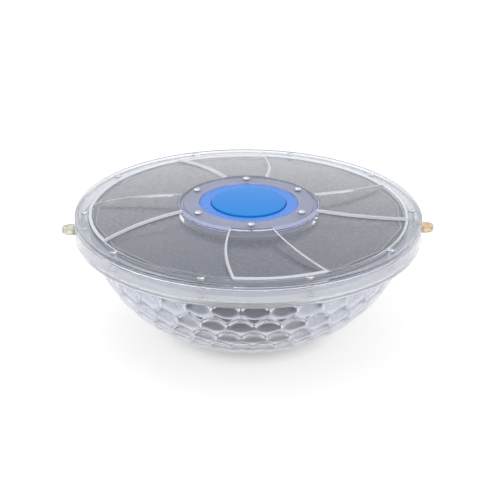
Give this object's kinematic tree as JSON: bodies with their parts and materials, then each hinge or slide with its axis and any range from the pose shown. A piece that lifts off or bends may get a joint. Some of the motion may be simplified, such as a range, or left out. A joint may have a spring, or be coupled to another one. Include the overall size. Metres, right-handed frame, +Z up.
{
  "type": "floating pool light",
  "caption": "Round floating solar pool light: clear honeycomb bowl, swirled clear cover over a dark solar disc, blue push button in the hub and two rope eyes on the rim.",
  "frame": {"origin": "centre of the underside of the bowl's flat foot", "axes": "+X through the right-hand rope eye, +Z up through the button"},
  "size_m": [0.3012, 0.28, 0.1122],
  "materials": {
    "clear_plastic": "clear, polished",
    "pale_clear_plastic": "clear with a pale yellow tint",
    "amber_clear_plastic": "clear with an amber tint",
    "dark_rubber": "matt",
    "white_rubber": "matt",
    "blue_silicone": "translucent, satin",
    "blue_plastic": "glossy",
    "steel": "bright",
    "solar_film": "glossy, dark indigo",
    "tray_plastic": "matt",
    "bezel_plastic": "satin",
    "white_plastic": "satin",
    "pod_plastic": "satin, violet grey",
    "frosted_plastic": "frosted",
    "circuit_board": "satin solder mask",
    "black_plastic": "matt",
    "cell_wrap": "glossy shrink wrap",
    "led_package": "phosphor",
    "red_insulation": "satin",
    "black_insulation": "satin"
  },
  "bodies": {
    "root": {"bowl": "clear_plastic", "top_cover": "clear_plastic", "rim_peg_01": "clear_plastic", "rim_peg_02": "clear_plastic", "rim_peg_03": "clear_plastic", "rim_peg_04": "clear_plastic", "rim_peg_05": "clear_plastic", "rim_peg_06": "clear_plastic", "rim_peg_07": "clear_plastic", "rim_peg_08": "clear_plastic", "rim_peg_09": "clear_plastic", "rim_peg_10": "clear_plastic", "rope_eye_left": "pale_clear_plastic", "rope_eye_right": "amber_clear_plastic", "rim_gasket": "dark_rubber", "lens_seal": "white_rubber", "button_boot": "blue_silicone", "button_guide": "white_plastic", "pod_housing": "pod_plastic", "return_spring": "steel", "hub_screw_1": "steel", "hub_screw_2": "steel", "hub_screw_3": "steel", "hub_screw_4": "steel", "hub_screw_5": "steel", "hub_screw_6": "steel", "board_screw_1": "steel", "board_screw_2": "steel", "board_screw_3": "steel", "board_screw_4": "steel", "battery_contact_front": "steel", "battery_contact_rear": "steel", "solar_panel": "solar_film", "panel_bezel": "bezel_plastic", "panel_tray": "tray_plastic", "pod_lens": "frosted_plastic", "led_board": "circuit_board", "control_board": "circuit_board", "led_1": "led_package", "led_2": "led_package", "led_3": "led_package", "led_4": "led_package", "led_5": "led_package", "led_6": "led_package", "control_chip": "black_plastic", "tact_switch": "black_plastic", "battery_holder": "black_plastic", "battery_cell_1": "cell_wrap", "battery_cell_2": "cell_wrap", "battery_cell_3": "cell_wrap", "panel_lead_red": "red_insulation", "led_lead_red": "red_insulation", "battery_lead_red": "red_insulation", "panel_lead_black": "black_insulation", "led_lead_black": "black_insulation", "battery_lead_black": "black_insulation"},
    "button": {"button_cap": "blue_plastic", "button_stem": "white_plastic", "switch_plunger": "white_plastic"}
  },
  "joints": [
    {"name": "button_press", "type": "slide", "parent": "root", "child": "button", "axis": [0, 0, -1], "range_m": [0, 0.002], "stiffness_N_per_m": 700, "springref_m": -0.0015, "deforming": ["return_spring"]}
  ]
}
